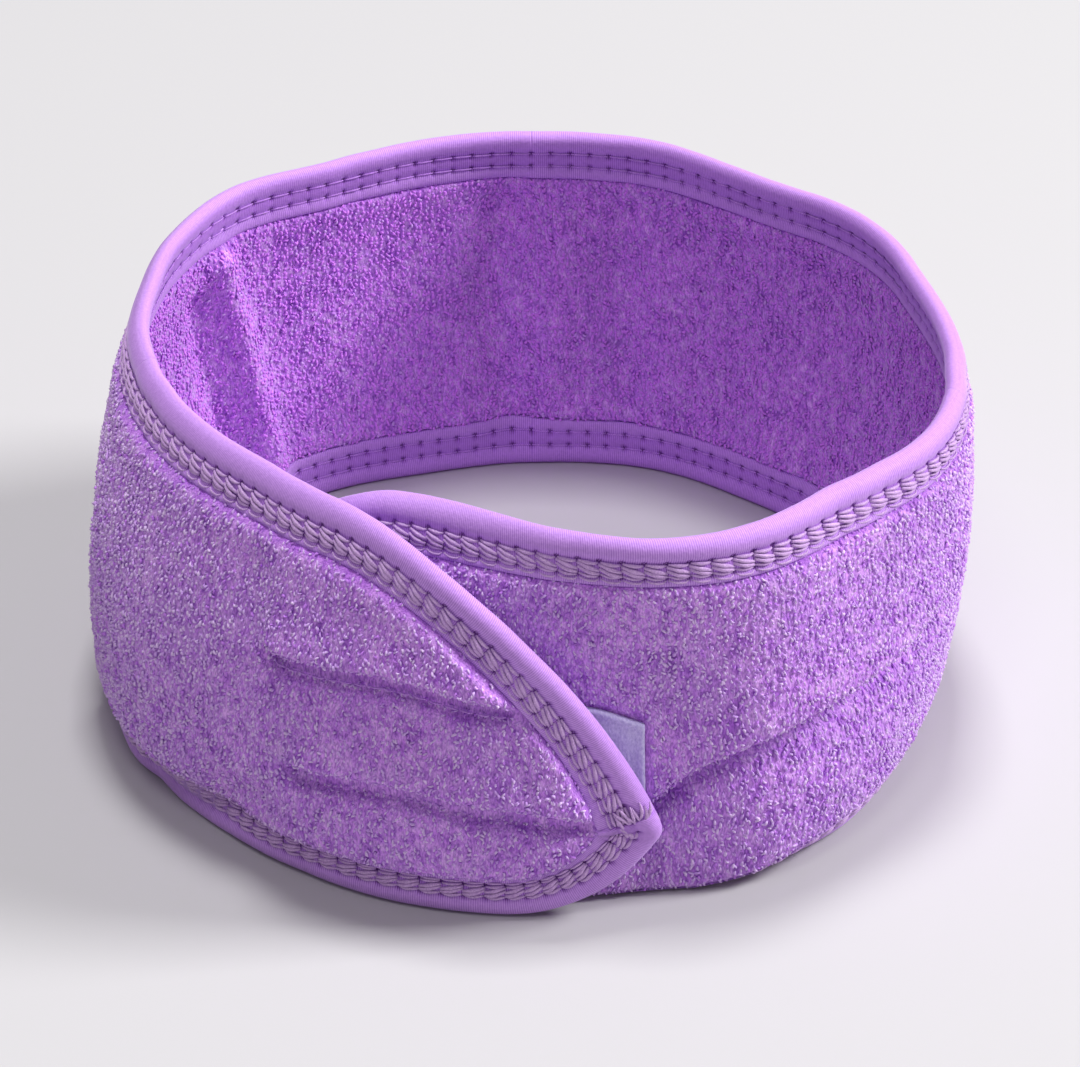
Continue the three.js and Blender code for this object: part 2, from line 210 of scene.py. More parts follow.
def ring_value(deg, column):
    """A column of RING at an angle, carried smoothly from row to row."""
    rows = RING[:, 0]
    i = np.clip(np.searchsorted(rows, deg, side="right") - 1, 0, len(rows) - 2)
    before, after = np.clip(i - 1, 0, None), np.clip(i + 2, None, len(rows) - 1)
    span = rows[i + 1] - rows[i]
    value = RING[:, column]

    def slope(a, b):
        return (value[b] - value[a]) / (rows[b] - rows[a]) * span

    x = np.clip((deg - rows[i]) / span, 0, 1)
    rise = smooth(0, 1, x)
    flat = value[i] * (1 - rise) + value[i + 1] * rise
    return flat + slope(before, i + 1) * x * (1 - x) ** 2 - slope(i, after) * x * x * (1 - x)


def distance_to(along, up, path):
    """How far points of the pattern lie from a line through path."""
    nearest = np.full(np.shape(along), np.inf)
    for (x0, y0), (x1, y1) in zip(path, path[1:]):
        dx, dy = x1 - x0, y1 - y0
        t = np.clip(((along - x0) * dx + (up - y0) * dy) / (dx * dx + dy * dy), 0, 1)
        nearest = np.minimum(nearest, np.hypot(along - x0 - t * dx, up - y0 - t * dy))
    return nearest


def fold(along, up):
    """How far the soft folds move the cloth outwards."""
    moved = np.zeros(np.shape(along))
    for path, reach, height in FOLDS:
        line = [(float(along_of(deg)), z) for deg, z in path]
        moved += height * np.exp(-((distance_to(along, up, line) / reach) ** 2))
    return moved


def hang_over(along, up, line, above, below, groove, soft):
    """How far a crease along a line of the pattern moves the cloth outwards above it and inwards below it."""
    over = up - np.interp(along, line[:, 0], line[:, 1])
    upper = smooth(-soft, soft, over)
    moved = upper * above[0] * np.exp(-((over / above[1]) ** 2))
    moved = moved - (1 - upper) * below[0] * np.exp(-((over / below[1]) ** 2))
    moved = moved - groove * np.exp(-(((over / soft + 1.1) / 1.2) ** 2))
    return moved * within(along, line[0, 0], line[-1, 0], CREASE_FADE)


def crease(along, up):
    """How far the crease at the front right moves the cloth outwards."""
    line = np.array([(float(along_of(deg)), z) for deg, z in CREASE])
    return hang_over(along, up, line, CREASE_ABOVE, CREASE_BELOW, CREASE_GROOVE, CREASE_SOFT)


def tuck(deg, up):
    """How far the tucked lower edge moves the cloth inwards, and how far down."""
    amount = np.interp(deg, TUCK[:, 0], TUCK[:, 1])
    inwards = TUCK_IN * amount * np.clip(TUCK_FOLD - up, 0, None)
    falling = np.clip((TUCK_TOP - up) / (TUCK_TOP - TUCK_FOLD), 0, 1)
    down = TUCK_SAG * amount * np.minimum(np.clip(up, 0, None) / TUCK_FOLD, falling)
    return inwards, down


def place(along, up, out):
    """Pattern points laid on the ring, in metres."""
    along, up, out = np.broadcast_arrays(*(np.asarray(v, float) for v in (along, up, out)))
    deg = np.clip(deg_of(along), START_DEG, FLAP_TIP_DEG)
    share = up / BAND_WIDTH
    foot, rim, belly = (ring_value(deg, column) for column in (1, 2, 3))
    radius = foot * (1 - share) + rim * share + belly * 4 * share * (1 - share)
    inwards, down = tuck(deg, up)
    radius = radius + fold(along, up) + crease(along, up) - inwards + out
    angle = math.radians(START_DEG) + along / PATTERN_RADIUS
    x = radius * np.cos(angle) - RING_CENTRE[0]
    y = radius * np.sin(angle) - RING_CENTRE[1]
    return np.stack([x, y, up - down], -1) / 1000


# ---- the outline on the pattern ----


def bezier(points, count):
    """Places along a cubic curve with four control points."""
    t = np.linspace(0, 1, count)[:, None]
    p = np.array(points, float)
    s = 1 - t
    return s**3 * p[0] + 3 * s * s * t * p[1] + 3 * s * t * t * p[2] + t**3 * p[3]


def end_outline(end):
    """An end's outline on the pattern, from its lower edge round the tip to its upper one."""
    lower, upper = (bezier(ENDS[end][side], 160) for side in ("lower", "upper"))
    line = np.concatenate([lower[::-1], upper[1:]])
    if end == "flap":
        line[:, 0] = BAND_LENGTH - line[:, 0]
        window = np.hanning(2 * TIP_BLUNT + 1)
        padded = np.pad(line, ((TIP_BLUNT, TIP_BLUNT), (0, 0)), mode="edge")
        line = np.stack([np.convolve(padded[:, k], window / window.sum(), "valid") for k in (0, 1)], 1)
    return line


OUTLINES = {end: end_outline(end) for end in ENDS}


def edge_heights(span, along, inset):
    """The two heights that the cloth lies between, moved in from the outline by inset."""
    low = np.full(along.shape, float(inset))
    high = np.full(along.shape, float(BAND_WIDTH - inset))
    end = END_OF.get(span)
    if end is None:
        return low, high
    for side, heights in (("lower", low), ("upper", high)):
        line = bezier(ENDS[end][side], 400)
        step = np.gradient(line, axis=0)
        step /= np.linalg.norm(step, axis=1, keepdims=True)
        turn = 1 if side == "upper" else -1
        line = line + inset * turn * np.stack([step[:, 1], -step[:, 0]], 1)
        from_tip = BAND_LENGTH - along if end == "flap" else along
        near = from_tip < ENDS[end][side][3][0]
        heights[near] = np.interp(from_tip[near], line[:, 0], line[:, 1])
    middle = (low + high) / 2
    return np.minimum(low, middle - 0.05), np.maximum(high, middle + 0.05)


def edge_distance(span, along, up):
    """How far points of the pattern lie from the band's outline."""
    distance = np.minimum(up, BAND_WIDTH - up)
    end = END_OF.get(span)
    if end is None:
        return distance
    line = OUTLINES[end][::4]
    reach = ENDS[end]["upper"][3][0] + 14
    near = (BAND_LENGTH - along if end == "flap" else along) < reach
    distance = distance.copy()
    distance[near] = np.minimum(distance[near], distance_to(along[near], up[near], line))
    return distance


# ---- making pieces ----


def quads(steps, sides):
    """The faces of a tube made of steps rings of sides points each."""
    ring = np.arange(steps - 1)[:, None] * sides
    j = np.arange(sides)[None, :]
    after = (j + 1) % sides
    return np.stack([ring + j, ring + after, ring + sides + after, ring + sides + j], -1).reshape(-1, 4)


def halves(faces):
    """Each four-sided face as two triangles."""
    return [faces[:, [0, 1, 2]], faces[:, [0, 2, 3]]]


def new_piece(name, points, faces, looks, slot, attributes=(), flat=0):
    """A smooth-shaded piece from points in metres and faces of one size, the last few faces flat."""
    mesh = bpy.data.meshes.new(name)
    points = np.asarray(points, np.float32).reshape(-1, 3)
    faces = np.asarray(faces, np.int32)
    count, size = faces.shape
    mesh.vertices.add(len(points))
    mesh.vertices.foreach_set("co", points.ravel())
    mesh.loops.add(count * size)
    mesh.loops.foreach_set("vertex_index", faces.ravel())
    mesh.polygons.add(count)
    mesh.polygons.foreach_set("loop_start", np.arange(0, count * size, size, dtype=np.int32))
    mesh.polygons.foreach_set("use_smooth", np.arange(count) < count - flat)
    for key, values in dict(attributes).items():
        mesh.attributes.new(key, "FLOAT", "POINT").data.foreach_set("value", np.float32(values).ravel())
    mesh.update(calc_edges=True)
    mesh.validate()
    mesh.materials.append(looks)
    piece = bpy.data.objects.new(name, mesh)
    scene.collection.objects.link(piece)
    return piece


def over_hinge(piece, span):
    """Bakes the piece's placing into its points; its span's hinge is looked up, but nothing bends over it."""
    _, _, hinge, before, after = SPANS[span]
    middle = place(along_of(hinge), BAND_WIDTH / 2, 0)
    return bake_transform(piece)


def tube_mesh(paths, radius, sides, twist=0.0, ply=0.0):
    """Closed tubes along paths (tube, step, xyz), with a radius for each step and twisted plies."""
    paths = np.asarray(paths, float)
    tubes, steps, _ = paths.shape
    forward = np.gradient(paths, axis=1)
    forward /= np.linalg.norm(forward, axis=2, keepdims=True) + 1e-12
    guide = paths.mean(axis=1, keepdims=True) * [1, 1, 0]
    guide = guide / (np.linalg.norm(guide, axis=2, keepdims=True) + 1e-12)
    side = np.cross(forward, guide)
    side /= np.linalg.norm(side, axis=2, keepdims=True) + 1e-12
    normal = np.cross(side, forward)
    turn = np.arange(sides) / sides * 2 * math.pi
    lay = np.linspace(0, 1, steps)[:, None] * twist
    ring = np.asarray(radius, float).reshape(-1, 1) * (1 + ply * np.cos(2 * (turn[None, :] + lay)))
    across = np.cos(turn)[:, None] * side[:, :, None] + np.sin(turn)[:, None] * normal[:, :, None]
    body = paths[:, :, None] + ring[None, :, :, None] * across
    points = np.concatenate([body.reshape(tubes, steps * sides, 3), paths[:, :1], paths[:, -1:]], axis=1)
    k = np.arange(sides)
    first, last = steps * sides, steps * sides + 1
    start = np.stack([np.full(sides, first), (k + 1) % sides, k], 1)
    foot = (steps - 1) * sides
    finish = np.stack([np.full(sides, last), foot + k, foot + (k + 1) % sides], 1)
    one = np.concatenate([*halves(quads(steps, sides)), start, finish])
    each = np.arange(tubes)[:, None, None] * (steps * sides + 2)
    return points.reshape(-1, 3), (one[None] + each).reshape(-1, 3)


# ---- materials ----


def material(name, build):
    made = bpy.data.materials.new(name)
    made.use_nodes = True
    tree = made.node_tree
    build(tree, tree.nodes["Principled BSDF"])
    return made


def node(tree, kind, inputs=(), **settings):
    made = tree.nodes.new(kind)
    for key, value in settings.items():
        setattr(made, key, value)
    for key, value in dict(inputs).items():
        if isinstance(value, bpy.types.NodeSocket):
            tree.links.new(value, made.inputs[key])
        else:
            made.inputs[key].default_value = value
    return made


def ramp(tree, factor, stops):
    made = node(tree, "ShaderNodeValToRGB", {"Fac": factor})
    elements = made.color_ramp.elements
    while len(elements) < len(stops):
        elements.new(0.5)
    for element, (at, colour) in zip(elements, stops):
        element.position = at
        element.color = (*colour, 1)
    return made.outputs["Color"]


def noise(tree, scale, detail=2.0, stretch=(1, 1, 1)):
    """Noise in the object's own metres; scale is its lumps to the metre."""
    at = node(tree, "ShaderNodeTexCoord").outputs["Object"]
    mapped = node(tree, "ShaderNodeMapping", {"Vector": at, "Scale": stretch}).outputs["Vector"]
    made = node(tree, "ShaderNodeTexNoise", {"Vector": mapped, "Scale": scale, "Detail": detail})
    return made.outputs["Fac"]


def bump(tree, height, strength, distance):
    made = node(tree, "ShaderNodeBump", {"Height": height, "Strength": strength, "Distance": distance})
    return made.outputs["Normal"]


def multiplied(tree, a, b):
    """The product of two colours."""
    colours = {"Factor": 1.0, 6: a, 7: b}
    return node(tree, "ShaderNodeMix", colours, data_type="RGBA", blend_type="MULTIPLY").outputs[2]


def fabric(shader, roughness, sheen, sheen_tint, specular=0.3):
    shader.inputs["Roughness"].default_value = roughness
    shader.inputs["Sheen Weight"].default_value = sheen
    shader.inputs["Sheen Tint"].default_value = (*sheen_tint, 1)
    shader.inputs["Sheen Roughness"].default_value = 0.45
    shader.inputs["Specular IOR Level"].default_value = specular


def terry_looks(tree, shader):
    """Violet between the loops and paler on their tops, painted shade in the hollows and painted light on the
    tops, drifting where the pile lies differently.
    """
    fabric(shader, 0.82, 0.35, (0.86, 0.78, 1.0))
    height = node(tree, "ShaderNodeAttribute", attribute_name="pile").outputs["Fac"]
    # Painted shade: the lower the pile, the darker and more violet the cloth; painted light on the loops'
    # tops.
    pile = ramp(tree, height, [
        (0.0, (0.40, 0.11, 0.70)),
        (0.45, (0.60, 0.26, 0.87)),
        (1.0, (0.74, 0.42, 0.95)),
    ])
    fibre = noise(tree, 2600, 3, (1, 1, 0.4))
    fibres = ramp(tree, fibre, [(0.36, (0.62, 0.56, 0.70)), (0.64, (1.2, 1.2, 1.12))])
    drift = ramp(tree, noise(tree, 55), [(0.35, (0.90, 0.88, 0.93)), (0.65, (1.06, 1.06, 1.03))])
    colour = multiplied(tree, multiplied(tree, pile, fibres), drift)
    tree.links.new(colour, shader.inputs["Base Color"])
    tree.links.new(bump(tree, fibre, 0.7, 0.0004), shader.inputs["Normal"])


def binding_looks(tree, shader):
    """Smooth fine-ribbed knit, paler on the ribs: painted light on the raised ribs, with painted shade
    between them, along the stitched band and in the needle holes.
    """
    fabric(shader, 0.62, 0.25, (0.9, 0.85, 1.0), specular=0.35)
    rib = node(tree, "ShaderNodeAttribute", attribute_name="rib").outputs["Fac"]
    # Painted shade and light: pale on the raised ribs, darker between them, along the stitched band and in
    # the needle holes.
    ribs = ramp(tree, rib, [(0.0, (0.16, 0.03, 0.28)), (0.3, (0.42, 0.17, 0.68)), (1.0, (0.68, 0.38, 0.90))])
    soft = noise(tree, 1500)
    worn = ramp(tree, soft, [(0.3, (0.92, 0.90, 0.94)), (0.7, (1.05, 1.05, 1.04))])
    tree.links.new(multiplied(tree, ribs, worn), shader.inputs["Base Color"])
    tree.links.new(bump(tree, soft, 0.35, 0.0002), shader.inputs["Normal"])


def fibrous(tree, shader, fibres, dark, pale, relief, depth=0.0002):
    """Colour from dark to pale, and relief, that both follow the fibres."""
    tree.links.new(ramp(tree, fibres, [(0.3, dark), (0.7, pale)]), shader.inputs["Base Color"])
    tree.links.new(bump(tree, fibres, relief, depth), shader.inputs["Normal"])


def thread_looks(tree, shader):
    """Spun thread, a greyer purple than the cloth, with plies that catch the light."""
    fabric(shader, 0.5, 0.2, (0.92, 0.88, 1.0), specular=0.45)
    fibrous(tree, shader, noise(tree, 3200), (0.46, 0.25, 0.60), (0.70, 0.46, 0.80), 0.5)


def needle_looks(tree, shader):
    """The fine thread of the needle rows, near the binding's own colour."""
    fabric(shader, 0.55, 0.2, (0.9, 0.85, 1.0))
    fibrous(tree, shader, noise(tree, 3600), (0.42, 0.16, 0.66), (0.66, 0.36, 0.88), 0.4)


def loop_looks(tree, shader):
    """Brushed loop tape in a pale blue-lavender."""
    fabric(shader, 0.75, 0.5, (0.95, 0.93, 1.0))
    brushed = noise(tree, 2200, 4, (1, 1, 0.6))
    fibrous(tree, shader, brushed, (0.46, 0.38, 0.74), (0.68, 0.60, 0.92), 0.8, 0.0003)


def hook_looks(tree, shader):
    """Woven nylon tape and its hooks."""
    fabric(shader, 0.42, 0.1, (0.9, 0.88, 1.0), specular=0.5)
    fibrous(tree, shader, noise(tree, 1800), (0.30, 0.18, 0.50), (0.42, 0.28, 0.64), 0.4)


TERRY = material("terry_pile", terry_looks)

# The loops' tones, the inside's saturated violet first and then from deep to pale, and the share of the loops
# that has each: 1 is the outside,
# -1 the inside. The inside's saturated tone is painted light, the glow of light bounced round inside the
# ring, and the outside's paler mix is painted sheen; within a face the tones differ at random.
TUFT_COLOURS = [
    (0.74, 0.27, 0.97),
    (0.61, 0.26, 0.87),
    (0.68, 0.40, 0.90),
    (0.75, 0.51, 0.94),
    (0.82, 0.61, 0.96),
]
TUFT_SHARES = {1: [0.0, 0.15, 0.30, 0.32, 0.23], -1: [0.72, 0.18, 0.10, 0.0, 0.0]}


def tuft_tone(number, colour):
    def looks(tree, shader):
        fabric(shader, 0.9, 0.06, (0.90, 0.84, 1.0), specular=0.03)
        shader.inputs["Base Color"].default_value = (*colour, 1)

    return material(f"terry_loops_{number}", looks)


TUFT_TONES = [tuft_tone(number, colour) for number, colour in enumerate(TUFT_COLOURS)]
BINDING = material("knit_binding", binding_looks)
THREAD = material("looper_thread", thread_looks)
NEEDLE = material("needle_thread", needle_looks)
LOOP = material("loop_tape", loop_looks)
HOOK = material("hook_tape", hook_looks)

# ---- the terry ----

TERRY_PITCH = 0.6
TERRY_CUT_IN = 1.8  # how far inside the binding's fold the cloth is cut
CLOTH_HALF = 0.75  # half the bare cloth's thickness, as it is pressed in the binding
PILE_STANDS = 1.15  # how far the pile stands over that where it is free
PILE_LUMPS = 0.5  # how much its loops add
TAPE_BED = 1.5  # half the cloth's thickness where a fastener tape presses it

# The furrows pressed into the flap over the hook tape's long sides, given as for the front's crease.
FURROW_ABOVE = (2.3, 8)
FURROW_BELOW = (2.3, 8)
FURROW_GROOVE = 3.3
FURROW_SOFT = 2.1
FURROW_APART = 0.94 * TAPE_WIDTH
FURROW_LIFT = 2.3  # how much higher they lie than the tape's own sides
FURROW_START = (7.5, 3.5)  # degrees past the tape's start, for the lower one and the upper one
FURROW_STOP = 10  # degrees past the tape's end
FLAP_PADDING = 1.3  # how much the pile over the hook tape stands out


def tape_middle(along):
    """The height of the fastener tapes' middle line at a place along the band."""
    deg = deg_of(along)
    deg = np.where(deg > TAPE_LINE[0, 0] + 360, deg - 360, deg)
    i = np.clip(np.searchsorted(TAPE_LINE[:, 0], deg, side="right") - 1, 0, len(TAPE_LINE) - 2)
    low, high = TAPE_LINE[i], TAPE_LINE[i + 1]
    t = smooth(low[..., 0], high[..., 0], deg)
    return low[..., 1] * (1 - t) + high[..., 1] * t


def tape_point(tape, along, share):
    """A tape's pattern point for a place along its upper edge, share of the way up the tape."""
    start, stop = along_of(tape[0]), along_of(tape[1])
    along = np.asarray(along, float)
    along = along + math.radians(tape[2]) * PATTERN_RADIUS * (1 - share) * (along - start) / (stop - start)
    return along, tape_middle(along) + (share - 0.5) * TAPE_WIDTH


def tape_side(span):
    """The face of a span that its fastener tape lies on: 1 outside, -1 inside."""
    return 1 if span == "front_right" else -1


def tape_mask(along, up, tape):
    """1 on the cloth that a fastener tape covers, falling to 0 just outside it."""
    low, high = along_of(tape[0]), along_of(tape[1] + tape[2] / 2)
    middle = tape_middle(along)
    return within(along, low, high, 1.5) * within(up - middle, -TAPE_WIDTH / 2, TAPE_WIDTH / 2, 1.5)


def seam_lines(tape):
    """The stitched rectangle that holds a fastener tape, as a closed path on the pattern."""
    left, right = float(along_of(tape[0])) + SEAM_IN, float(along_of(tape[1])) - SEAM_IN
    low, high = SEAM_IN / TAPE_WIDTH, 1 - SEAM_IN / TAPE_WIDTH
    there = np.linspace(left, right, 9)
    bottom = [tape_point(tape, a, low) for a in there]
    top = [tape_point(tape, a, high) for a in there[::-1]]
    line = bottom + top + bottom[:1]
    return [(float(x), float(y)) for x, y in line]


def tape_crease(tape, share):
    """The line pressed into the cloth over a tape's lower side, share 0, or upper side, share 1."""
    along = np.linspace(along_of(tape[0] + FURROW_START[share]), along_of(tape[1] + FURROW_STOP), 14)
    return np.stack([along, tape_middle(along) + FURROW_LIFT + (share - 0.5) * FURROW_APART], 1)


def pile_height(along, up, side):
    """The loops' height from 0 to 1."""
    seed = 11 if side > 0 else 31
    loops = 0.6 * grain(along, up, (0.8, 1.3), seed) + 0.5 * grain(along, up, (0.62, 0.9), seed + 1)
    clumps = 0.22 * grain(along, up, (1.9, 3.4), seed + 2) + 0.1 * grain(along, up, (6, 11), seed + 3)
    return np.clip(0.5 + 0.55 * (loops + clumps), 0, 1)


def near_tip(along, up):
    """1 at the flap's tip, falling to 0 away from it."""
    reach = 16
    return np.exp(-(((along - BAND_LENGTH) ** 2 + (up - FLAP_TIP_UP) ** 2) / reach**2))


def bound_in(span, along, up, side):
    """How far inside the binding's edge the points of the pattern lie."""
    inset = edge_distance(span, along, up) - TAPE_REACH[0 if side > 0 else 1]
    if span == "front_left":
        inset = inset - CORNER_EXTRA * near_tip(along, up)
    return inset


def terry_surface(span, along, up, side):
    """The out of one face of the cloth, and the height of its pile."""
    inset = bound_in(span, along, up, side)
    free = smooth(-0.5, 1.3, inset)
    height = pile_height(along, up, side)
    plump = 0.3 * np.exp(-(((inset - 3) / 3) ** 2))
    half = CLOTH_HALF + free * (PILE_STANDS + plump + PILE_LUMPS * height)
    tape = TAPE_ON.get(span)
    if tape and side == tape_side(span):
        half -= (half - TAPE_BED) * tape_mask(along, up, tape)
    elif span == "front_left":
        seam = distance_to(along, up, seam_lines(tape))
        half += free * (FLAP_PADDING - 0.4 * np.exp(-((seam / 1.4) ** 2)))
        calm = 0.5 + 0.5 * smooth(0, 9, inset)
        for share in (0, 1):
            line = tape_crease(tape, share)
            furrow = hang_over(along, up, line, FURROW_ABOVE, FURROW_BELOW, FURROW_GROOVE, FURROW_SOFT)
            half += free * calm * furrow
    elif span == "front_right":
        seam = distance_to(along, up, seam_lines(tape))
        half -= 0.8 * np.exp(-((seam / 1.3) ** 2))
    return side * np.maximum(half, 0.35), height * free


# A loop of pile: how far along its length it is, how thick there, and how far off the cloth, as shares.
TUFT_STEPS = [(0.0, 0.0, -0.2), (0.2, 0.85, 0.4), (0.5, 1.0, 0.75), (0.8, 0.85, 0.45), (1.0, 0.0, -0.15)]
WALE_PITCH = 1.3  # between the columns of loops
COURSE_PITCH = 0.8  # between the loops of a column
TUFT_LONG = (0.8, 1.45)
TUFT_THICK = (0.26, 0.42)
TUFT_STAND = (0.2, 0.45)  # how far the loops stand off the outside of the cloth
INSIDE_STAND = 0.7  # the share of that for the inside, which is pressed flatter
TUFT_CURL = 0.35
TUFT_SUNK = 0.05
FURROW_BARE = (0.6, 3.4)  # from and to below a furrow's line, where the loops are pressed out of sight


def loops_show(span, along, up, side):
    """Whether loops stand at places of one face: not under the binding or a tape, nor in a furrow."""
    low, high = edge_heights(span, along, 0)
    shown = (bound_in(span, along, up, side) > 0) & (up > low) & (up < high)
    tape = TAPE_ON.get(span)
    if tape and side == tape_side(span):
        shown &= tape_mask(along, up, tape) <= 0.05
    elif span == "front_left":
        for share in (0, 1):
            line = tape_crease(tape, share)
            below = np.interp(along, line[:, 0], line[:, 1]) - up
            shown &= ~((below > FURROW_BARE[0]) & (below < FURROW_BARE[1]) & (along > line[0, 0]))
    return shown


def make_tufts(span, side):
    """The loops of pile that stand up from one face of the cloth."""
    rng = np.random.RandomState(100 + 10 * list(SPANS).index(span) + side)
    start, stop = (float(along_of(d)) for d in SPANS[span][:2])
    wales = np.arange(start, stop, WALE_PITCH)
    courses = np.arange(0, BAND_WIDTH, COURSE_PITCH)
    along, up = (v.ravel() for v in np.meshgrid(wales, courses, indexing="ij"))
    along = along + rng.normal(0, 0.2 * WALE_PITCH, along.size)
    up = up + rng.uniform(-0.5, 0.5, up.size) * COURSE_PITCH
    keep = loops_show(span, along, up, side) & (along > start) & (along < stop)
    along, up = along[keep], up[keep]
    n = len(along)
    lean = rng.normal(0, 0.6, n) + 0.4 * grain(along, up, (9, 14), 301)
    long = rng.uniform(*TUFT_LONG, n)
    thick = rng.uniform(*TUFT_THICK, n)
    stand = rng.uniform(*TUFT_STAND, n) * (1 if side > 0 else INSIDE_STAND)
    curl = rng.uniform(-TUFT_CURL, TUFT_CURL, n)
    t, swell, lift = np.array(TUFT_STEPS).T
    run = (t - 0.5) * long[:, None]
    bend = curl[:, None] * np.sin(math.pi * t)
    tuft_along = along[:, None] + np.sin(lean)[:, None] * run + np.cos(lean)[:, None] * bend
    tuft_up = up[:, None] + np.cos(lean)[:, None] * run - np.sin(lean)[:, None] * bend
    foot, _ = terry_surface(span, along, up, side)
    out = foot[:, None] + side * (lift * stand[:, None] - TUFT_SUNK)
    paths = place(tuft_along, np.clip(tuft_up, 0.3, BAND_WIDTH - 0.3), out)
    points, faces, tufts = spindles(paths, swell, thick / 1000)
    face = "outside" if side > 0 else "inside"
    piece = new_piece(f"tufts_{span}_{face}", points, faces, TUFT_TONES[0], "terry")
    for tone in TUFT_TONES[1:]:
        piece.data.materials.append(tone)
    tone_of = rng.choice(len(TUFT_TONES), n, p=TUFT_SHARES[side])
    piece.data.polygons.foreach_set("material_index", tone_of[tufts].astype(np.int32))
    return over_hinge(piece, span)


def spindles(paths, swell, thick):
    """Closed spindles along paths (spindle, step, xyz), each starting and ending in a point."""
    n, steps, _ = paths.shape
    sides = 3
    forward = paths[:, -1] - paths[:, 0]
    forward /= np.linalg.norm(forward, axis=1, keepdims=True)
    away = paths[:, steps // 2] * [1, 1, 0]
    away /= np.linalg.norm(away, axis=1, keepdims=True)
    side = np.cross(forward, away)
    side /= np.linalg.norm(side, axis=1, keepdims=True)
    normal = np.cross(side, forward)
    turn = np.arange(sides) / sides * 2 * math.pi + math.pi / 2
    across = np.cos(turn)[None, :, None] * side[:, None] + np.sin(turn)[None, :, None] * normal[:, None]
    rings = paths[:, 1:-1, None] + across[:, None] * (thick[:, None] * swell[None, 1:-1])[:, :, None, None]
    points = np.concatenate([paths[:, :1], rings.reshape(n, -1, 3), paths[:, -1:]], axis=1)
    k = np.arange(sides)
    last = (steps - 2) * sides + 1
    first_ring, last_ring = 1 + k, 1 + (steps - 3) * sides + k
    one = np.concatenate([
        *halves(quads(steps - 2, sides) + 1),
        np.stack([np.zeros(sides, int), np.roll(first_ring, -1), first_ring], 1),
        np.stack([np.full(sides, last), last_ring, np.roll(last_ring, -1)], 1),
    ])
    faces = one[None] + (np.arange(n) * points.shape[1])[:, None, None]
    return points.reshape(-1, 3), faces.reshape(-1, 3), np.repeat(np.arange(n), len(one))


def end_caps(columns, rows):
    """The faces that close both ends of a flattened tube of columns x 2 rows points."""
    n = 2 * rows
    k = np.arange(rows - 1)
    start = np.stack([k + 1, k, n - 1 - k, n - 2 - k], 1)
    return start, start[:, ::-1] + (columns - 1) * n


def make_terry(span):
    """A span of the cloth; its loops of pile are made as pieces of their own."""
    start, stop = (along_of(deg) for deg in SPANS[span][:2])
    if span == "front_right":
        start += TERRY_CUT_IN + 0.4
    if span == "front_left":
        stop -= TERRY_CUT_IN + 0.8
    columns = int((stop - start) / TERRY_PITCH)
    rows = int((BAND_WIDTH - 2 * TERRY_CUT_IN) / TERRY_PITCH)
    along = np.linspace(start, stop, columns)
    low, high = edge_heights(span, along, TERRY_CUT_IN)
    share = np.linspace(0, 1, rows)[None, :]
    up = low[:, None] + (high - low)[:, None] * share
    along = np.broadcast_to(along[:, None], up.shape)
    outside, inside = ((along, up, *terry_surface(span, along, up, side)) for side in (1, -1))
    *ring, pile_shade_height = (np.concatenate([a, b[:, ::-1]], 1) for a, b in zip(outside, inside))
    points = place(*ring)
    caps = end_caps(columns, rows)
    faces = np.concatenate([quads(columns, 2 * rows), *caps])[:, ::-1]
    # The pile's height at each point, kept for the terry's painted shade between the loops.
    pile = {"pile": pile_shade_height}
    piece = new_piece(f"terry_{span}", points, faces, TERRY, "terry", pile, flat=2 * len(caps[0]))
    over_hinge(piece, span)
    return piece


# ---- the binding ----

RIB_PITCH = 0.45
RIB_HEIGHT = 0.05
HOLE_DEPTH = 0.5  # of the needle holes
HOLE_RADIUS = 0.6
PULL_RADIUS = 0.4  # of the line that the stitches pull in from hole to hole
PULL = 0.25  # its depth, as a share of a hole's
WAVER = 0.18  # how unevenly the tape lies
LAP = {"lower": 0.6, "upper": -0.2}  # how far the two runs' ends lift where they cross at the flap's tip
# The folded tape's section as (inset, out): its stitched face outside, the roll over the edge, its face
# inside, and the hollow that the cloth lies in.
TAPE_SECTION = [
    (9.7, 1.1), (9.9, 1.5), (9.85, 1.85), (9.6, 2.0), (9.2, 2.05), (8.8, 1.95), (8.45, 1.7),
    (8.1, 1.55), (7.6, 1.65), (6.8, 1.8), (6.0, 1.8), (5.3, 1.65), (4.8, 1.5), (4.35, 1.7),
    (3.8, 2.05), (3.0, 2.25), (2.1, 2.2), (1.25, 1.9), (0.55, 1.3), (0.12, 0.6), (0, 0),
    (0.12, -0.6), (0.55, -1.3), (1.25, -1.85), (2.1, -2.1), (3.0, -2.15), (3.8, -1.95), (4.4, -1.75),
    (4.8, -1.65), (5.3, -1.8), (6.0, -1.9), (6.8, -1.9), (7.6, -1.8), (8.1, -1.65), (8.6, -1.85),
    (9.3, -2.15), (10.2, -2.25), (10.9, -2.15), (11.2, -1.8), (11.0, -1.2), (1.7, -1.1), (1.7, 1.1),
]


def binding_join():
    """The point of the flap's outline where the binding's two ends meet."""
    return int(np.argmax(OUTLINES["flap"][:, 0])) + JOIN_PAST_TIP


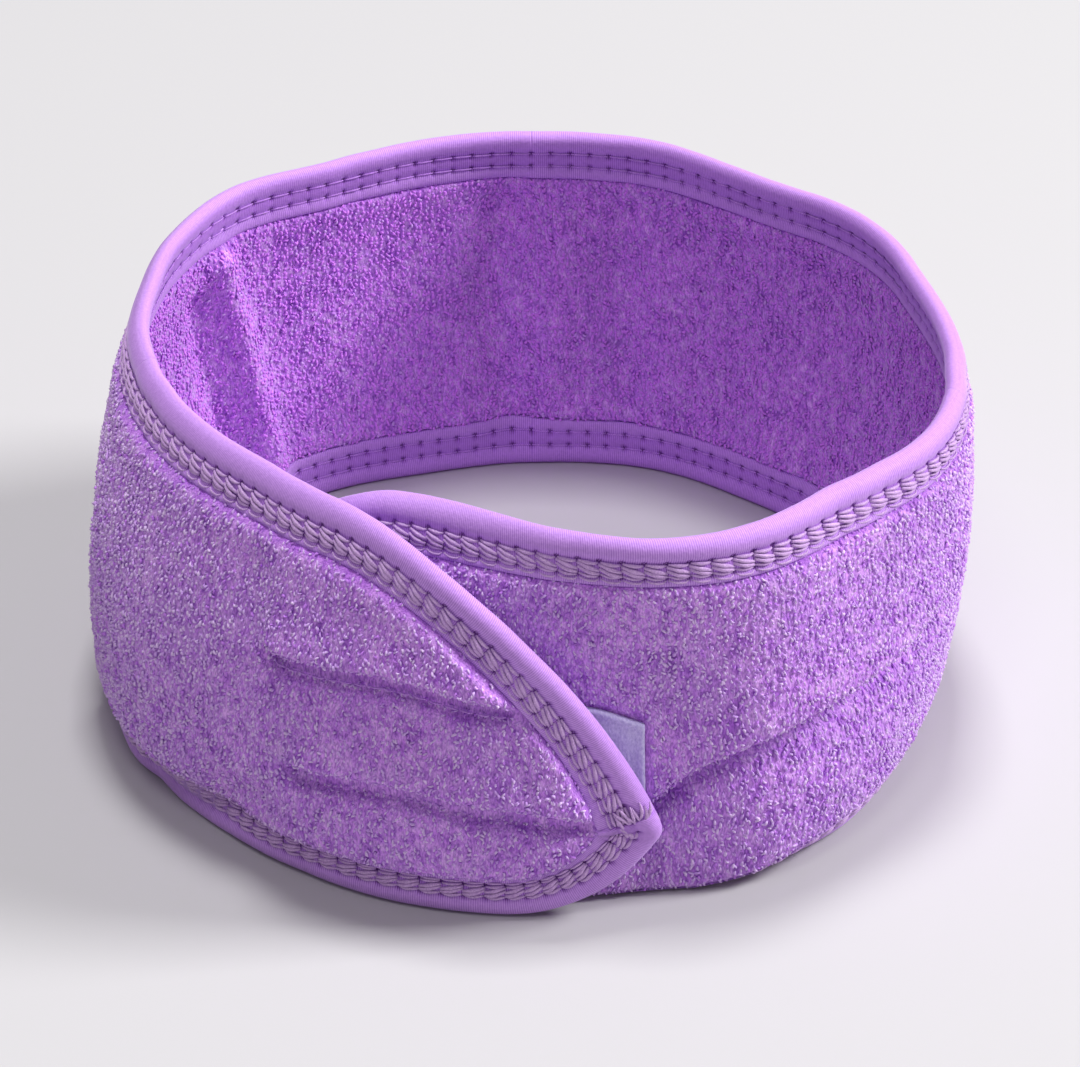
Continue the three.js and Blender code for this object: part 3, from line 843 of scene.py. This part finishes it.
def edge_path(span, side):
    """A run of the binding's fold on the pattern: distances along it, and the points there."""
    low, high = (along_of(d) for d in SPANS[span][:2])
    if side == "round":  # the under end: along the lower edge, round the tip, back along the upper edge
        tip = OUTLINES["under"]
        line = np.concatenate([[(high, 0)], tip, [(high, BAND_WIDTH)]])
    elif span == "front_left":
        tip = OUTLINES["flap"]
        join = binding_join()
        if side == "lower":
            line = np.concatenate([[(low, 0)], tip[: join + 1]])
        else:
            line = np.concatenate([[(low, BAND_WIDTH)], tip[join:][::-1]])
    else:
        height = BAND_WIDTH if side == "upper" else 0
        line = np.array([(low, height), (high, height)])
    steps = np.linalg.norm(np.diff(line, axis=0), axis=1)
    run = np.concatenate([[0], np.cumsum(steps)])
    count = 2 * int(run[-1] / RIB_PITCH)
    s = np.linspace(0, run[-1], count)
    path = np.stack([np.interp(s, run, line[:, k]) for k in (0, 1)], 1)
    return s, path


def smoothed(values, s, reach):
    """Values along a path, averaged over reach to either side, with their ends kept."""
    half = max(1, int(reach / (s[1] - s[0])))
    padded = np.pad(values, ((half, half), (0, 0)), mode="edge")
    window = np.hanning(2 * half + 3)[1:-1]
    window /= window.sum()
    return np.stack([np.convolve(padded[:, k], window, "valid") for k in (0, 1)], 1)


def inward_of(path, s, span):
    """The directions into the cloth from a run of the binding's fold."""
    forward = np.gradient(path, axis=0)
    forward /= np.linalg.norm(forward, axis=1, keepdims=True)
    inward = np.stack([forward[:, 1], -forward[:, 0]], 1)
    middle = along_of(sum(SPANS[span][:2]) / 2), BAND_WIDTH / 2
    towards = np.sum(inward * (np.array(middle) - path), axis=1)
    inward *= np.sign(np.median(towards))
    inward = smoothed(inward, s, 9)
    return inward / np.linalg.norm(inward, axis=1, keepdims=True)


def stitches_in(s):
    """How many whole stitches a run of binding holds, and their length."""
    count = max(1, round(s[-1] / STITCH_PITCH))
    return count, s[-1] / count


def from_hole(s):
    """How far along the run each place lies from the nearest needle hole."""
    _, pitch = stitches_in(s)
    return ((s / pitch + 0.5) % 1 - 0.5) * pitch


def binding_holes(s, inset, out):
    """How deep the needle holes and the pull of the stitches between them are, from 0 to 1."""
    away = from_hole(s)[:, None]
    hole = np.zeros((len(s), inset.shape[1]))
    for row in NEEDLE_ROWS:
        near = np.exp(-((away / HOLE_RADIUS) ** 2) - ((inset - row) / HOLE_RADIUS) ** 2)
        hole = np.maximum(hole, near * (np.abs(out) > 1.3))
    pulled = np.exp(-((away / PULL_RADIUS) ** 2)) * within(inset, 4.7, 8.2, 0.4)
    return np.maximum(hole, PULL * pulled * (out > 1.3))


def binding_faces(steps, n):
    """The faces of a binding of steps sections with n points each, its two end caps last."""
    k = np.arange(n // 2)
    cap = np.stack([k, k + 1, n - 2 - k, n - 1 - k], 1)
    cap = cap[cap[:, 1] < cap[:, 2]]
    far_cap = cap[:, ::-1] + (steps - 1) * n
    faces = np.concatenate([quads(steps, n), cap[:, ::-1], far_cap[:, ::-1]])
    return faces, 2 * len(cap)


def make_binding(name, span, side):
    """A run of the folded tape, ribbed across, pulled in at the needle holes and wavering a little."""
    s, path = edge_path(span, side)
    inward = inward_of(path, s, span)
    inset, out = np.array(TAPE_SECTION).T[:, None, :]
    rib = (np.arange(len(s)) % 2)[:, None] * np.ones_like(out)
    hollow = (np.abs(np.abs(out) - 1.1) < 0.01) & (inset < 2)
    shown = ((np.abs(out) > 0.9) | (inset < 1)) & ~hollow
    ends = smooth(0, 1.5, s) * smooth(0, 1.5, s[-1] - s)
    raised = np.where(shown, RIB_HEIGHT * (2 * rib - 1), 0) * ends[:, None]
    hole = binding_holes(s, inset, out)
    on_fold = (np.abs(out) <= 1.0) & (inset < 1)
    out = np.sign(out) * (np.abs(out) + raised * (np.abs(out) > 0.5) - HOLE_DEPTH * hole)
    inset = inset - np.where(on_fold, raised, 0)
    if span == "front_left":
        wide = CORNER_EXTRA * near_tip(path[:, 0], path[:, 1])[:, None]
        inset = inset + wide * smooth(8.3, 9.6, np.abs(inset))
        end = smooth(s[-1] - 8, s[-1] - 2, s)[:, None] * (out > 0.5)
        out = out + end * LAP[side]
    waver = WAVER * grain(path[:, :1] + 40, path[:, 1:] + 5, (7, 9), 71)
    along = path[:, 0][:, None] + inward[:, 0][:, None] * inset
    up = path[:, 1][:, None] + inward[:, 1][:, None] * inset
    points = place(along, np.clip(up, 0.02, BAND_WIDTH + 0.6), out + waver)
    faces, caps = binding_faces(*points.shape[:2])
    # Painted shade for the binding's colour: darker between the ribs, along the stitched band and in the
    # needle holes.
    shaded_stitch_band = within(inset, 4.9, 8.0, 0.6)
    painted_shade = np.clip((0.3 + 0.7 * rib) * (1 - 0.3 * shaded_stitch_band) - 0.9 * hole, 0, 1)
    piece = new_piece(name, points, faces, BINDING, "binding", {"rib": painted_shade}, flat=caps)
    over_hinge(piece, span)
    return piece, (s, path, inward)


def along_edge(s, path, inward, at, inset, out):
    """Places over the binding: at is the distance along its run."""
    x = np.interp(at, s, path[:, 0]) + np.interp(at, s, inward[:, 0]) * inset
    y = np.interp(at, s, path[:, 1]) + np.interp(at, s, inward[:, 1]) * inset
    return place(x, np.clip(y, 0.3, BAND_WIDTH - 0.3), out)


# One coverstitch as strands of (share of the stitch, inset, out), between two pairs of needle holes.
LOOPER_STRANDS = [
    [(0.06, 5.0, 1.4), (0.28, 5.0, 1.8), (0.5, 5.1, 1.9), (0.74, 5.2, 1.8), (0.94, 5.2, 1.4)],
    [(-0.02, 5.5, 1.6), (0.26, 5.8, 1.95), (0.5, 6.15, 2.05), (0.74, 6.5, 1.95), (1.0, 6.9, 1.6)],
    [(-0.01, 6.3, 1.6), (0.26, 6.75, 1.95), (0.5, 7.1, 2.05), (0.74, 7.4, 1.95), (1.0, 7.6, 1.6)],
    [(0.06, 7.75, 1.4), (0.3, 7.9, 1.75), (0.5, 8.0, 1.85), (0.74, 8.05, 1.75), (0.94, 8.1, 1.4)],
    [(0.06, 8.6, 1.6), (0.28, 8.85, 2.0), (0.52, 8.95, 2.15), (0.78, 8.95, 2.1), (0.96, 8.7, 1.6)],
]
STRAND_RADIUS = [0.38, 0.46, 0.46, 0.34, 0.24]
NEEDLE_RADIUS = 0.21


def joined(meshes):
    """Several meshes, each as points and faces, in one."""
    starts = np.cumsum([0] + [len(points) for points, _ in meshes])
    faces = [each + start for (_, each), start in zip(meshes, starts)]
    return np.concatenate([points for points, _ in meshes]), np.concatenate(faces)


def make_coverstitch(name, span, run):
    """The broad stitches over the outside of a run of the binding."""
    s, path, inward = run
    rng = np.random.RandomState(5)
    count, pitch = stitches_in(s)
    starts = np.arange(count) * pitch
    t = np.linspace(0, 1, 9)
    meshes = []
    for strand, radius in zip(LOOPER_STRANDS, STRAND_RADIUS):
        knots = np.array(strand)
        knot_t = np.linspace(0, 1, len(knots))
        share, inset, out = (np.interp(t, knot_t, knots[:, k]) for k in (0, 1, 2))
        shake = rng.uniform(-1, 1, (3, count, 1))
        at = np.clip(starts[:, None] + (share[None, :] + 0.02 * shake[0]) * pitch, 0, s[-1])
        paths = along_edge(s, path, inward, at, inset + 0.09 * shake[1], out + 0.07 * shake[2])
        thick = radius * (0.5 + 0.5 * np.sin(np.pi * np.clip(t, 0.05, 0.95)) ** 0.7) / 1000
        meshes.append(tube_mesh(paths, thick, 8, twist=5.0, ply=0.09))
    piece = new_piece(name, *joined(meshes), THREAD, "thread")
    return over_hinge(piece, span)


def make_needle_rows(name, span, run):
    """The two rows of plain stitches inside a run of the binding."""
    s, path, inward = run
    rng = np.random.RandomState(6)
    count, pitch = stitches_in(s)
    starts = np.arange(count) * pitch
    t = np.linspace(0.04, 0.96, 7)
    meshes = []
    for row in NEEDLE_ROWS:
        shake = rng.uniform(-1, 1, (2, count, 1))
        at = starts[:, None] + t[None, :] * pitch
        sunk = -1.55 - 0.32 * np.sin(np.pi * t) ** 0.5
        paths = along_edge(s, path, inward, at, row + 0.08 * shake[0], sunk + 0.04 * shake[1])
        thick = NEEDLE_RADIUS * (0.6 + 0.4 * np.sin(np.pi * t)) / 1000
        meshes.append(tube_mesh(paths, thick, 6, twist=4.0, ply=0.12))
    piece = new_piece(name, *joined(meshes), NEEDLE, "thread")
    return over_hinge(piece, span)


# ---- the band ----

EDGES = {
    "front_right": ["round"],
    "back_right": ["lower", "upper"],
    "back_left": ["lower", "upper"],
    "front_left": ["lower", "upper"],
}
RUNS_OF = {
    "front_right": ["under_end", "top_right", "bottom_right"],
    "back_right": ["top_back", "bottom_back"],
    "back_left": ["top_left", "bottom_left"],
    "front_left": ["top_flap", "bottom_flap"],
}
TERRY_OF = {
    "front_right": ["terry_under_end", "terry_right"],
    "back_right": ["terry_back"],
    "back_left": ["terry_left"],
    "front_left": ["terry_flap"],
}


def nodes_for(kind, span, edge):
    """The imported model's nodes that a binding or thread piece stands for."""
    wanted = {"lower": "bottom", "upper": "top"}.get(edge)
    return [f"{kind}_{run}" for run in RUNS_OF[span] if wanted is None or run.startswith(wanted)]


for span in SPANS:
    tufts = [make_tufts(span, side) for side in (1, -1)]
    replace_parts(make_terry(span), *TERRY_OF[span])
    for edge in EDGES[span]:
        label = f"{span}_{edge}"
        binding, run = make_binding(f"binding_{label}", span, edge)
        coverstitch = make_coverstitch(f"coverstitch_{label}", span, run)
        needle_rows = make_needle_rows(f"needle_rows_{label}", span, run)
        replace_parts(binding, *nodes_for("binding", span, edge))
        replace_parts(coverstitch, *nodes_for("coverstitch", span, edge))
        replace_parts(needle_rows, *nodes_for("needle_thread", span, edge))

# ---- the fastener tapes ----

TAPE_PITCH = 0.7
TAPE_THICK = 0.95


def make_tape(name, tape, face, looks, body, fuzz):
    """A tape lying over one face of the cloth: face is how far out its near side lies."""
    start, stop = along_of(tape[0]), along_of(tape[1])
    columns = int((stop - start) / TAPE_PITCH)
    rows = int(TAPE_WIDTH / TAPE_PITCH)
    over = np.linspace(start, stop, columns)[:, None]
    share = np.broadcast_to(np.linspace(0, 1, rows), (columns, rows))
    along, up = tape_point(tape, over, share)
    sense = 1 if face > 0 else -1
    seam = np.exp(-((distance_to(along, up, seam_lines(tape)) / 0.9) ** 2))
    edge = np.minimum(share, 1 - share) * TAPE_WIDTH
    selvedge = 0.22 * within(edge, 0.5, 1.1, 0.4)
    rough = fuzz * grain(along, up, (0.8, 0.8), 91)
    near = np.full_like(up, face)
    far = face + sense * (TAPE_THICK - 0.35 * seam + selvedge + rough)
    ring = [np.concatenate([a, b[:, ::-1]], 1) for a, b in ((along, along), (up, up), (far, near))]
    faces = np.concatenate([quads(columns, 2 * rows), *end_caps(columns, rows)])
    if sense > 0:
        faces = faces[:, ::-1]
    kind = name.rsplit("_", 1)[0]
    piece = new_piece(name, place(*ring), faces, looks, kind)
    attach(piece, body)
    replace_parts(piece, kind)


HOOK_PITCH = (1.3, 1.2)  # along the tape and across it
HOOK_MARGIN = 3  # of bare tape round the hooks
HOOK_RADIUS = 0.11
HOOK_FOOT = -2.75  # the tape's face that they stand on
HOOK_RISE = 0.62
HOOK_REACH = 0.55  # how far a hook's tip leans over


def make_hooks():
    """Rows of fine nylon hooks standing on the hook tape's face."""
    start, stop = along_of(HOOK_TAPE[0]) + HOOK_MARGIN, along_of(HOOK_TAPE[1]) - HOOK_MARGIN
    places = np.arange(start, stop, HOOK_PITCH[0])
    rows = np.arange(HOOK_MARGIN, TAPE_WIDTH - HOOK_MARGIN, HOOK_PITCH[1])
    over, across = (v.ravel() for v in np.meshgrid(places, rows, indexing="ij"))
    along, up = tape_point(HOOK_TAPE, over, across / TAPE_WIDTH)
    t = np.linspace(0, 1, 7)
    rise = HOOK_RISE * np.sin(np.minimum(t * 1.35, 1) * math.pi / 2) - 0.22 * smooth(0.7, 1, t)
    reach = HOOK_REACH * smooth(0.45, 1, t)
    turn = np.where(np.arange(len(along)) % 2 == 0, 1, -1)[:, None]
    paths = place(along[:, None] + turn * reach, up[:, None], HOOK_FOOT - rise)
    points, faces = tube_mesh(paths, np.full(len(t), HOOK_RADIUS / 1000), 4)
    piece = new_piece("hooks", points, faces, HOOK, "hook_tape")
    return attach(piece, "flap")


DASH = 2.3  # the length of the tape seams' stitches
DASH_GAP = 0.5
SEAM_RADIUS = 0.24  # of their thread
SEAM_ARCH = 0.3


def make_box_seam(name, tape, out, body, node_name):
    """The dashes of thread that sew a fastener tape on."""
    corners = seam_lines(tape)
    t = np.linspace(0, 1, 7)
    arch = np.sin(np.pi * t)
    paths = []
    for (x0, y0), (x1, y1) in zip(corners, corners[1:]):
        length = math.hypot(x1 - x0, y1 - y0)
        count = max(1, round(length / (DASH + DASH_GAP)))
        margin = DASH_GAP / 2 / length
        for k in range(count):
            share = k / count + margin + (1 / count - 2 * margin) * t
            rise = np.sign(out) * SEAM_ARCH * arch
            paths.append(place(x0 + (x1 - x0) * share, y0 + (y1 - y0) * share, out + rise))
    points, faces = tube_mesh(paths, SEAM_RADIUS / 1000 * (0.6 + 0.4 * arch), 6, twist=4.0, ply=0.12)
    piece = new_piece(name, points, faces, NEEDLE, "thread")
    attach(piece, body)
    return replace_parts(piece, node_name)


make_tape("loop_tape_brushed", LOOP_TAPE, 1.85, LOOP, "under_end", fuzz=0.1)
make_tape("hook_tape_woven", HOOK_TAPE, -1.85, HOOK, "flap", fuzz=0.03)
make_hooks()
make_box_seam("hook_tape_seam", HOOK_TAPE, 1.0, "flap", "hook_tape_stitching")
make_box_seam("loop_tape_seam", LOOP_TAPE, -1.3, "under_end", "loop_tape_stitching")

# ---- the tack at the flap's tip ----

TACK_STRANDS = 9
TACK_START = 1.5  # the first strand's distance in from the binding's fold
TACK_PITCH = 0.7
TACK_SLANT = 1.3
TACK_ENDS = (-0.6, 3.4)  # how far the strands reach to either side of the join
TACK_RADIUS = 0.36


def make_tack():
    """Crossing strands over the place where the binding's two ends meet."""
    tip = OUTLINES["flap"]
    join = binding_join()
    middle = tip[join]
    forward = tip[join + 6] - tip[join - 6]
    forward /= np.linalg.norm(forward)
    inward = np.array([-abs(forward[1]), forward[0]])
    rng = np.random.RandomState(9)
    t = np.linspace(0, 1, 9)
    arch = np.sin(np.pi * t)
    paths = []
    for k in range(TACK_STRANDS):
        depth = TACK_START + TACK_PITCH * k
        slant = rng.uniform(-TACK_SLANT, TACK_SLANT)
        start = middle + inward * (depth - slant) + forward * (TACK_ENDS[0] + rng.uniform(-0.7, 0.7))
        stop = middle + inward * (depth + slant) + forward * (TACK_ENDS[1] + rng.uniform(-0.9, 0.9))
        bow = inward * 0.5 * rng.uniform(-1, 1)
        way = start + (stop - start) * t[:, None] + bow * arch[:, None]
        paths.append(place(way[:, 0], way[:, 1], 1.9 + 0.65 * arch**0.7 + rng.uniform(0, 0.2)))
    points, faces = tube_mesh(paths, TACK_RADIUS / 1000 * (0.5 + 0.5 * arch), 7, twist=5.0, ply=0.15)
    piece = new_piece("tip_tack_strands", points, faces, THREAD, "thread")
    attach(piece, "flap")
    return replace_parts(piece, "tip_tack")


make_tack()

# ---- floor, light and camera ----

FLOOR_COLOUR = (0.535, 0.525, 0.535)
WORLD_COLOUR = (0.98, 0.97, 1.0)
WORLD_STRENGTH = 0.24
# The square lamps: azimuth and elevation in degrees, distance and size in metres, watts.
LAMPS = {
    "key": (4, 38, 3.0, 0.8, 88),
    "top": (90, 80, 2.2, 0.45, 30),
    "front": (262, 62, 1.8, 0.5, 5),
}


def make_floor():
    bpy.ops.mesh.primitive_plane_add(size=3, location=(0, 0, 0))
    floor = bpy.context.active_object
    floor.name = "floor"

    def looks(tree, shader):
        shader.inputs["Base Color"].default_value = (*FLOOR_COLOUR, 1)
        shader.inputs["Roughness"].default_value = 0.7
        shader.inputs["Specular IOR Level"].default_value = 0.2

    floor.data.materials.append(material("floor", looks))


def area_light(name, azimuth, elevation, distance, size, watts):
    """A square lamp that looks at the ring, its azimuth counted from +X."""
    azimuth, elevation = math.radians(azimuth), math.radians(elevation)
    lamp = bpy.data.lights.new(name, "AREA")
    lamp.shape = "SQUARE"
    lamp.size = size
    lamp.energy = watts
    holder = bpy.data.objects.new(name, lamp)
    flat = distance * math.cos(elevation)
    holder.location = (flat * math.cos(azimuth), flat * math.sin(azimuth), distance * math.sin(elevation))
    holder.rotation_euler = (math.pi / 2 - elevation, 0, azimuth + math.pi / 2)
    scene.collection.objects.link(holder)


def make_light():
    world = bpy.data.worlds.new("studio")
    world.use_nodes = True
    background = world.node_tree.nodes["Background"]
    background.inputs["Color"].default_value = (*WORLD_COLOUR, 1)
    background.inputs["Strength"].default_value = WORLD_STRENGTH
    scene.world = world
    for name, settings in LAMPS.items():
        area_light(name, *settings)
    scene.view_settings.view_transform = "Standard"


CAMERA_TARGET = (0.002, -0.0115, 0.042)
CAMERA_ELEVATION = 32
CAMERA_DISTANCE = 1.2
CAMERA_LENS = 190


def make_camera():
    data = bpy.data.cameras.new("camera")
    data.lens = CAMERA_LENS
    data.sensor_width = 36
    data.clip_start = 0.01
    camera = bpy.data.objects.new("camera", data)
    tilt = math.radians(CAMERA_ELEVATION)
    x, y, z = CAMERA_TARGET
    camera.location = (x, y - CAMERA_DISTANCE * math.cos(tilt), z + CAMERA_DISTANCE * math.sin(tilt))
    camera.rotation_euler = (math.pi / 2 - tilt, 0, 0)
    scene.collection.objects.link(camera)
    scene.camera = camera


make_floor()
make_light()
make_camera()
